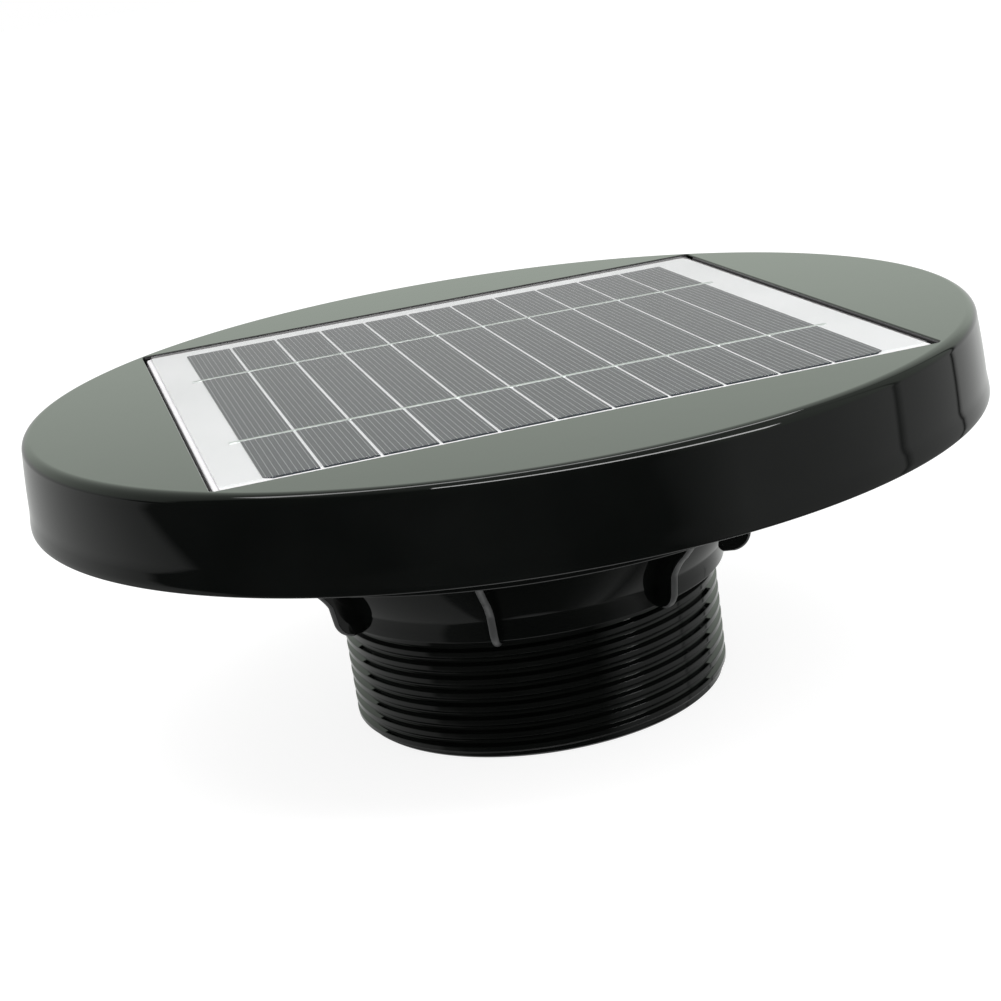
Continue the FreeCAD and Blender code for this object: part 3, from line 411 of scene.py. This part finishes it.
def arc(start, end, radius, side, steps):
    """Points from start to end on an arc, with its centre to the left of the way for side 1."""
    start, end = Vector(start), Vector(end)
    half = (end - start) / 2
    middle = start + half + Vector((-half.y, half.x)).normalized() * side * math.sqrt(
        radius**2 - half.length_squared)
    first = math.atan2(*(start - middle).yx)
    sweep = 2 * math.asin(half.length / radius) * side
    return [(middle.x + radius * math.cos(first + sweep * step / steps),
             middle.y + radius * math.sin(first + sweep * step / steps)) for step in range(steps + 1)]


class Solid:
    """Points, in millimetres, and faces of a closed solid."""

    def __init__(self):
        self.points, self.faces = [], []

    def row(self, points):
        first = len(self.points)
        self.points += [Vector(point) for point in points]
        return list(range(first, len(self.points)))

    def band(self, row, other):
        """Joins two closed rows of the same length."""
        self.faces += [[row[index - 1], row[index], other[index], other[index - 1]]
                       for index in range(len(row))]

    def close(self, row, reverse=False):
        self.faces.append(row[::-1] if reverse else list(row))

    def loft(self, rows):
        """Joins closed rows of points in order, and closes both ends."""
        made = [self.row(points) for points in rows]
        for row, other in zip(made, made[1:]):
            self.band(row, other)
        self.close(made[0], reverse=True)
        self.close(made[-1])
        return self

    def object(self, name):
        mesh = bpy.data.meshes.new(name)
        mesh.from_pydata([point * MM for point in self.points], [], self.faces)
        mesh.validate()
        body = bmesh.new()
        body.from_mesh(mesh)
        bmesh.ops.remove_doubles(body, verts=body.verts, dist=1e-7)
        bmesh.ops.recalc_face_normals(body, faces=body.faces)
        body.to_mesh(mesh)
        body.free()
        made = bpy.data.objects.new(name, mesh)
        scene.collection.objects.link(made)
        return made


def circle_row(x, y, z, radius, steps=32):
    return [(x + radius * math.cos(2 * math.pi * step / steps),
             y + radius * math.sin(2 * math.pi * step / steps), z) for step in range(steps)]


def square_row(half, corner, z, steps=8):
    """A square outline with rounded corners."""
    return [(sx * (half - corner) + corner * math.cos(turn + math.pi / 2 * step / steps),
             sy * (half - corner) + corner * math.sin(turn + math.pi / 2 * step / steps), z)
            for sx, sy, turn in ((1, 1, 0), (-1, 1, math.pi / 2), (-1, -1, math.pi), (1, -1, 1.5 * math.pi))
            for step in range(steps + 1)]


def box_row(low, high, z):
    return [(low[0], low[1], z), (high[0], low[1], z), (high[0], high[1], z), (low[0], high[1], z)]


def rod(x, y, radius, low, high):
    return Solid().loft([circle_row(x, y, z, radius) for z in (low, high)])


def turned_round(solid, angle):
    made = Solid()
    turn = Matrix.Rotation(math.radians(angle), 3, "Z")
    made.points = [turn @ point for point in solid.points]
    made.faces = solid.faces
    return made


SHARP_ANGLE = 32.0


def combine(name, start, steps, material):
    """Joins ("UNION") or cuts ("DIFFERENCE") solids one after another, and shades the result smooth."""
    made = start.object(name)
    for operation, solid in steps:
        tool = solid.object(f"{name}_tool")
        change = made.modifiers.new("change", "BOOLEAN")
        change.operation, change.solver, change.object = operation, "MANIFOLD", tool
        settle(made)
        bpy.data.objects.remove(tool)
    made.data.materials.clear()
    made.data.materials.append(material)
    for face in made.data.polygons:
        face.material_index = 0
        face.use_smooth = True
    made.data.set_sharp_from_angle(angle=math.radians(SHARP_ANGLE))
    weigh = made.modifiers.new("weigh", "WEIGHTED_NORMAL")
    weigh.keep_sharp, weigh.weight = True, 100
    settle(made)
    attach(made, "housing")
    return made


def settle(piece):
    """Applies a piece's modifiers."""
    seen = bpy.context.evaluated_depsgraph_get()
    seen.update()
    mesh = bpy.data.meshes.new_from_object(piece.evaluated_get(seen), preserve_all_data_layers=True,
                                           depsgraph=seen)
    piece.modifiers.clear()
    old = piece.data
    piece.data = mesh
    bpy.data.meshes.remove(old)
    mesh.name = piece.name


# Sizes of the mouldings, in millimetres: radii from the axis, and heights above the neck's lower end

ROUND = 288  # steps round the neck

# thread: one ridge, which fades out over part of a turn at each end, above a lead-in at the tip
THREAD_ROOT, THREAD_CREST, THREAD_PITCH, THREAD_TURNS, THREAD_START = 49.7, 50.9, 3.66, 8, 0.69
THREAD_LOW, THREAD_FADE, LEAD_IN_SLOPE = 0.7, 0.06, 0.9
CREST_FLAT, CREST_HALF, CREST_ROUND, CREST_DROP = 0.40, 0.53, 0.2, 0.17
ROOT_HALF, ROOT_RISE = 0.55, 0.14

# neck, collar and flange
NECK_TIP, NECK_BORE, LEDGE_BORE, FAN_BORE = 49.0, 46.5, 44.5, 50.0
LEDGE_LOW, LEDGE_HIGH, FAN_SEAT = 16.0, 18.0, 33.5
SHOULDER, KINK, FLANGE, FLANGE_TOP = 32.8, 38.0, 59.5, 62.5
SHOULDER_RADIUS, KINK_RADIUS, COLLAR_RADIUS = 53.6, 54.2, 60.0
DRIP_INSIDE, DRIP_OUTSIDE, DRIP_TOP, DRIP_ROUND = 90.0, 92.0, 66.0, 0.5

# fins, and where their edges get the painted highlight
FINS, FIN_THICK, FIN_EDGE, FIN_ROOT, FIN_LOW, FIN_TOP = 8, 2.0, 0.85, 52.0, 33.76, 60.3
HIGHLIGHT_HALF, HIGHLIGHT_RADIUS, HIGHLIGHT_TOP, HIGHLIGHT_SLOPE = 0.97, 56.2, 59, 0.27

# hollow posts for the cap's screws, and short pillars for the fan's
POSTS, POST_CIRCLE, POST_RADIUS, POST_TOP = 4, 80, 5.5, 82.0
PILLAR_CIRCLE, PILLAR_RADIUS, PILOT = 57, 3.2, 1.4

# cap, the panel's recess, the tray below it, its ribs, and the corners of the junction box's window
CAP_RADIUS, CAP_TOP, CAP_EDGE, CAP_FOOT, CAP_UNDERSIDE = 125.0, 94.0, 2.6, 71.7, 91.5
SKIRT_TOP_RADIUS, SKIRT_CURVE, SKIRT_BORE = 123.3, 240.0, 121.5
RECESS_HALF, RECESS_CORNER, RECESS_BREAK, RECESS_FLOOR = 85.4, 1.5, 0.4, 90.2
TRAY_HALF, TRAY_CORNER, TRAY_LOW, TRAY_HIGH = 87.4, 6.0, 88.2, 91.8
RIB_START, RIB_END, RIB_SPACING, RIB_HALF = 86.4, 122.3, 40, 0.8
BOX_WINDOW = ((-22.5, 22.5), (22.5, 57.5))


def between(value, low, high):
    return min(max(value, low), high)


def thread_section():
    """Half a ridge, crest to middle of the root: (height above the crest's middle, share of the depth)."""
    crest = [(0.0, 1.0), (CREST_FLAT, 1.0)]
    crest += [(CREST_HALF + CREST_ROUND * math.sin(turn), 1 - CREST_DROP + CREST_DROP * math.cos(turn))
              for turn in (math.radians(12 * step) for step in range(6))]
    middle = THREAD_PITCH / 2
    root = [(middle - away, ROOT_RISE * (away / ROOT_HALF) ** 2)
            for away in (ROOT_HALF, 0.45, 0.35, 0.23, 0.12)]
    return crest + root + [(middle, 0.0)]


def add_thread(solid):
    """The neck's outside, with one ridge that climbs round it. Returns its lowest and highest rows."""
    half = thread_section()
    phases = half + [(THREAD_PITCH - rise, share) for rise, share in half[-2:0:-1]]
    high = SHOULDER - 0.02
    table = []
    for winding in range(-2, THREAD_TURNS + 2):
        for rise, share in phases:
            base = THREAD_START + winding * THREAD_PITCH + rise
            row = []
            for column in range(ROUND + 1):
                height = base + THREAD_PITCH * column / ROUND
                way = (winding if rise <= THREAD_PITCH / 2 else winding + 1) + column / ROUND
                fade = between(way / THREAD_FADE, 0.0, 1.0)
                fade *= between((THREAD_TURNS - way) / THREAD_FADE, 0.0, 1.0)
                depth = (THREAD_CREST - THREAD_ROOT) * share * fade * fade * (3 - 2 * fade)
                level = between(height, THREAD_LOW, high)
                ridge = THREAD_ROOT + (depth if height < high else 0.0)
                radius = min(ridge, NECK_TIP + level * LEAD_IN_SLOPE)
                angle = 2 * math.pi * (column % ROUND) / ROUND
                row.append((radius * math.cos(angle), radius * math.sin(angle), level))
            table.append(solid.row(row))
    for row, other in zip(table, table[1:]):
        solid.faces += [[row[column], row[column + 1], other[column + 1], other[column]]
                        for column in range(ROUND)]
    return table[0][:ROUND], table[-1][:ROUND]


def fin_solid(steps=6):
    """One fin round the collar: a bullnosed blade with a rounded toe that sweeps out under the flange."""
    toe = SHOULDER + 0.1
    path = [(53.0, toe)] + arc((56.6, toe), (61.2, 37.2), 5.6, 1, 10)
    path += arc((62.0, 42.0), (67.0, 47.8), 18.0, -1, 10) + [(72.0, 52.83), (78.0, 58.9), (79.2, FIN_TOP)]
    side = FIN_THICK / 2
    section = [(FIN_EDGE - side - FIN_EDGE * math.cos(turn), FIN_EDGE - FIN_EDGE * math.sin(turn))
               for turn in (math.pi / 2 * step / steps for step in range(steps + 1))]
    section += [(-across, depth) for across, depth in section[::-1]]
    rows = []
    for index, (r, z) in enumerate(path):
        before, after = Vector(path[max(index - 1, 0)]), Vector(path[min(index + 1, len(path) - 1)])
        along = (after - before).normalized()
        out = Vector((along.y, -along.x))
        root = FIN_LOW + (FIN_TOP - FIN_LOW) * index / (len(path) - 1)
        edge = [(r - out.x * depth, across, z - out.y * depth) for across, depth in section]
        rows.append([(FIN_ROOT, -side, root)] + edge + [(FIN_ROOT, side, root)])
    return Solid().loft(rows)


def vent_profile():
    """The vent base's outline from the thread's top, over the flange and down the bore to the neck's tip."""
    outline = arc((SHOULDER_RADIUS - 0.5, SHOULDER), (SHOULDER_RADIUS, SHOULDER + 0.5), 0.5, 1, 5)
    outline += [(53.9, 35.4)] + arc((KINK_RADIUS, KINK), (COLLAR_RADIUS, FLANGE), 46.0, 1, 24)[:-1]
    outline += arc((COLLAR_RADIUS, FLANGE - 0.4), (COLLAR_RADIUS + 0.4, FLANGE), 0.4, -1, 4)
    outline.append((76.0, FLANGE))
    outline += arc((DRIP_OUTSIDE - 0.6, FLANGE), (DRIP_OUTSIDE, FLANGE + 0.6), 0.6, 1, 5)
    low, high = DRIP_TOP - DRIP_ROUND, DRIP_TOP
    outline += arc((DRIP_OUTSIDE, low), (DRIP_OUTSIDE - DRIP_ROUND, high), DRIP_ROUND, 1, 4)
    outline += arc((DRIP_INSIDE + DRIP_ROUND, high), (DRIP_INSIDE, low), DRIP_ROUND, 1, 4)
    outline += arc((DRIP_INSIDE, FLANGE_TOP + DRIP_ROUND), (DRIP_INSIDE - DRIP_ROUND, FLANGE_TOP),
                   DRIP_ROUND, -1, 4)
    outline += [(70.0, FLANGE_TOP), (FAN_BORE + 0.4, FLANGE_TOP), (FAN_BORE, FLANGE_TOP - 0.4)]
    outline += [(FAN_BORE, FAN_SEAT), (NECK_BORE, FAN_SEAT), (NECK_BORE, LEDGE_HIGH)]
    outline += [(LEDGE_BORE, LEDGE_HIGH), (LEDGE_BORE, LEDGE_LOW), (NECK_BORE, LEDGE_LOW)]
    return outline + [(NECK_BORE, 0.3), (NECK_BORE + 0.3, 0.0), (NECK_TIP - 0.3, 0.0), (NECK_TIP, 0.15)]


def on_circle(radius, quarter):
    """The place of one of the four posts or pillars, which stand on the diagonals."""
    angle = math.radians(45 + 90 * quarter)
    return radius * math.cos(angle), radius * math.sin(angle)


def make_vent_base(materials):
    """Neck with its thread, collar, flange, fins and hollow posts, as one moulding."""
    start = Solid()
    lowest, highest = add_thread(start)
    rows = [start.row(circle_row(0, 0, z, r, ROUND)) for r, z in vent_profile()]
    for row, other in zip([highest] + rows, rows + [lowest]):
        start.band(row, other)
    fin = fin_solid()
    steps = [("UNION", turned_round(fin, 360 / FINS * (index + 0.5))) for index in range(FINS)]
    for quarter in range(POSTS):
        x, y = on_circle(POST_CIRCLE, quarter)
        outline = ((FLANGE_TOP - 0.5, POST_RADIUS), (POST_TOP - 0.4, POST_RADIUS - 0.1),
                   (POST_TOP, POST_RADIUS - 0.5))
        steps.append(("UNION", Solid().loft([circle_row(x, y, z, radius) for z, radius in outline])))
        steps.append(("DIFFERENCE", rod(x, y, 3.4, 59.0, 77.0)))
        steps.append(("DIFFERENCE", rod(x, y, 1.8, 76.5, POST_TOP + 0.5)))
        x, y = on_circle(PILLAR_CIRCLE, quarter)
        steps.append(("UNION", rod(x, y, PILLAR_RADIUS, 53.0, 60.0)))
        steps.append(("DIFFERENCE", rod(x, y, PILOT, 54.5, FLANGE_TOP + 0.5)))
    made = combine("vent_moulding", start, steps, materials["housing_black"])
    # the second material paints a highlight on the fins' edges
    made.data.materials.append(materials["fin_edge_painted_highlight"])
    paint_fin_edge_highlight(made)
    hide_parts("vent_base")


def paint_fin_edge_highlight(vent):
    """Gives the fins' rounded edges the second material, whose paler colour is a painted highlight."""
    apart = 360 / FINS
    for face in vent.data.polygons:
        spot = face.center / MM
        radius = spot.xy.length
        turn = math.degrees(math.atan2(spot.y, spot.x)) % apart - apart / 2
        across = radius * math.sin(math.radians(turn))
        beyond = HIGHLIGHT_RADIUS + max(spot.z - KINK, 0) * HIGHLIGHT_SLOPE
        # faces near the fins' outer edges get the painted highlight
        if spot.z < HIGHLIGHT_TOP and radius > beyond and abs(across) < HIGHLIGHT_HALF:
            face.material_index = 1


def cap_profile():
    """The cap's outline from the middle of its plate's underside, down the skirt and up to its flat top."""
    plate = 119.6
    outline = [(plate, CAP_UNDERSIDE)]
    outline += arc((plate + 1.2, CAP_UNDERSIDE - 1.2), (plate, CAP_UNDERSIDE), 1.2, 1, 6)[::-1][1:]
    outline += [(SKIRT_BORE, 81.0), (122.2, CAP_FOOT), (124.0, CAP_FOOT)]
    outline += arc((CAP_RADIUS - 0.6, CAP_FOOT), (CAP_RADIUS, CAP_FOOT + 0.6), 0.6, 1, 8)
    outline += [(CAP_RADIUS, 72.8), (124.96, 73.3), (124.87, 74.0), (124.76, 74.8), (124.66, 75.6)]
    skirt_top = CAP_TOP - CAP_EDGE
    outline += arc((124.65, 74.0), (SKIRT_TOP_RADIUS, skirt_top), SKIRT_CURVE, 1, 14)[2:]
    flat = SKIRT_TOP_RADIUS - CAP_EDGE
    outline += arc((SKIRT_TOP_RADIUS, skirt_top), (flat, CAP_TOP), CAP_EDGE, 1, 18)[1:]
    return outline + [(120.45, CAP_TOP)]


def recess_solid():
    """What the panel's recess cuts out of the cap: a square with rounded corners and a broken upper edge."""
    rows = [square_row(RECESS_HALF, RECESS_CORNER, RECESS_FLOOR)]
    for turn in (math.pi / 2 * step / 5 for step in range(6)):
        out = RECESS_BREAK - RECESS_BREAK * math.cos(turn)
        rise = RECESS_BREAK * math.sin(turn)
        rows.append(square_row(RECESS_HALF + out, RECESS_CORNER + out, CAP_TOP - RECESS_BREAK + rise))
    rows.append(square_row(RECESS_HALF + RECESS_BREAK, RECESS_CORNER + RECESS_BREAK, CAP_TOP + 1))
    return Solid().loft(rows)


def make_cap(materials):
    """Cap plate, rolled edge, skirt and drip lip, with recess, ribs and bosses, as one moulding."""
    start = Solid().loft([circle_row(0, 0, z, r, 2 * ROUND) for r, z in cap_profile()])
    tray = Solid().loft([square_row(TRAY_HALF, TRAY_CORNER, z) for z in (TRAY_LOW, TRAY_HIGH)])
    steps = [("UNION", tray)]
    for quarter in range(POSTS):
        for middle in (-RIB_SPACING, 0, RIB_SPACING):
            reach = math.sqrt(RIB_END**2 - (abs(middle) + 1) ** 2)
            near, far = (RIB_START, middle - RIB_HALF), (reach, middle + RIB_HALF)
            rib = Solid().loft([box_row(near, far, z) for z in (TRAY_LOW, TRAY_HIGH)])
            steps.append(("UNION", turned_round(rib, 90 * quarter)))
        x, y = on_circle(POST_CIRCLE, quarter)
        steps.append(("UNION", rod(x, y, 5.0, POST_TOP, 88.6)))
        steps.append(("DIFFERENCE", rod(x, y, PILOT, POST_TOP - 1, 89.2)))
    steps.append(("DIFFERENCE", recess_solid()))
    steps.append(("DIFFERENCE", Solid().loft([box_row(*BOX_WINDOW, z) for z in (87.0, 91.0)])))
    made = combine("cap_moulding", start, steps, materials["housing_black"])
    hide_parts("cap_shell")


# Solar panel, in millimetres

CELL_COUNT, CELL_WIDTH, CELL_CHAMFER = 11, 12.5, 2.0
FINGERS, FINGER_WIDTH, FINGER_HEIGHT, FINGER_INSET = 9, 0.085, 0.015, 0.6
RIBBON_WIDTH, RIBBON_INSET, RIBBON_STEPS, RIBBON_WANDER, RIBBON_RIPPLE = 1.6, 0.65, 150, 0.10, 0.02
PANEL_HALF, PANEL_CORNER, BOARD_LOW = 84.5, 2.0, 91.0
SKIN, SKIN_CORNER, SKIN_EDGE = 0.25, 1.2, 0.2
RIM_WIDTH, RIM_STEP = 1.3, 0.35


def slab_rows(half, corner, low, high, edge, steps=5):
    """Rows of a square slab with rounded corners and a rounded upper edge."""
    rows = [square_row(half, corner, low)]
    for turn in (math.pi / 2 * step / steps for step in range(steps + 1)):
        inset = edge - edge * math.cos(turn)
        rows.append(square_row(half - inset, corner - inset, high - edge + edge * math.sin(turn)))
    rows.append(square_row(half - edge - 0.3, corner - edge - 0.3, high))
    return rows


def panel_piece(name, solid, material, slot, *replaced):
    """One piece of the panel, which takes the place of the CAD nodes named last."""
    made = combine(name, solid, [], material)
    if replaced:
        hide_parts(*replaced)


def make_sheets(materials):
    """White sheet with a stepped rim, and the clear skin over all."""
    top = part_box("panel_laminate")[1].z / MM
    sheet_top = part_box("solar_cells")[0].z / MM
    face = PANEL_HALF - RIM_WIDTH
    board = slab_rows(PANEL_HALF, PANEL_CORNER, BOARD_LOW, sheet_top - RIM_STEP, 0.4)[:-1]
    board += slab_rows(face, SKIN_CORNER, sheet_top - RIM_STEP, sheet_top, 0.15)
    panel_piece("panel_sheet", Solid().loft(board), materials["board_white"], "board_white", "panel_board")
    panel_piece("panel_skin", Solid().loft(slab_rows(face, SKIN_CORNER, top - SKIN, top, SKIN_EDGE)),
                materials["clear_front"], "clear_front", "panel_laminate")


def make_cells(materials):
    """Eleven cell strips, cut at the panel's corners, with fine printed lines along each."""
    low, high = (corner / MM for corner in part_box("solar_cells"))
    pitch = (high.x - low.x - CELL_WIDTH) / (CELL_COUNT - 1)
    cells, fingers = Solid(), Solid()
    for cell in range(CELL_COUNT):
        left = low.x + cell * pitch
        right = left + CELL_WIDTH
        cut_left, cut_right = CELL_CHAMFER * (cell == 0), CELL_CHAMFER * (cell == CELL_COUNT - 1)
        outline = [(right, high.y), (left, high.y)]
        outline += [(left, low.y + cut_left), (left + cut_left, low.y)] if cut_left else [(left, low.y)]
        outline += [(right - cut_right, low.y), (right, low.y + cut_right)] if cut_right else [(right, low.y)]
        cells.loft([[(x, y, z) for x, y in outline] for z in (low.z, high.z)])
        for finger in range(FINGERS):
            x = left + CELL_WIDTH * (finger + 0.5) / FINGERS
            short = max(cut_left - (x - left), cut_right - (right - x), 0.0)
            near = (x - FINGER_WIDTH / 2, low.y + FINGER_INSET + short)
            far = (x + FINGER_WIDTH / 2, high.y - FINGER_INSET)
            fingers.loft([box_row(near, far, z) for z in (high.z - 0.01, high.z + FINGER_HEIGHT)])
    panel_piece("cell_strips", cells, materials["silicon"], "silicon", "solar_cells")
    panel_piece("cell_fingers", fingers, materials["tinned_ribbon"], "tinned_ribbon")


def make_ribbons(materials):
    """Two rows of tinned ribbon across the cells, a little uneven in width and height."""
    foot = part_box("solar_cells")[0].z / MM + RIBBON_RIPPLE
    near, far = (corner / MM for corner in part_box("cell_ribbons"))
    ribbons = Solid()
    for middle in (near.y + RIBBON_INSET, far.y - RIBBON_INSET):
        rows = []
        for index in range(RIBBON_STEPS + 1):
            x = near.x + (far.x - near.x) * index / RIBBON_STEPS
            wander = RIBBON_WANDER * (math.sin(index * 2.1) + math.sin(index * 5.3)) / 2
            half = RIBBON_WIDTH / 2 - (wander if 0 < index < RIBBON_STEPS else 0.0)
            rise = far.z - RIBBON_RIPPLE + RIBBON_RIPPLE * math.sin(index * 3.7)
            rows.append([(x, middle - half, foot), (x, middle + half, foot),
                         (x, middle + half * 0.8, rise), (x, middle - half * 0.8, rise)])
        ribbons.loft(rows)
    panel_piece("cell_ribbon_rows", ribbons, materials["tinned_ribbon"], "tinned_ribbon", "cell_ribbons")


make_camera()
make_surround()
make_strip_light("rear_strip", (0.0, 0.17, 1.1), length=1.5, width=0.18, turn=0, brightness=4.5)
make_strip_light("front_strip", (0.30, -0.95, 1.15), length=2.0, width=0.20, turn=-33, brightness=10.0)
make_floor()
materials = make_materials()
dress(materials)
make_sheets(materials)
make_cells(materials)
make_ribbons(materials)
make_vent_base(materials)
make_cap(materials)
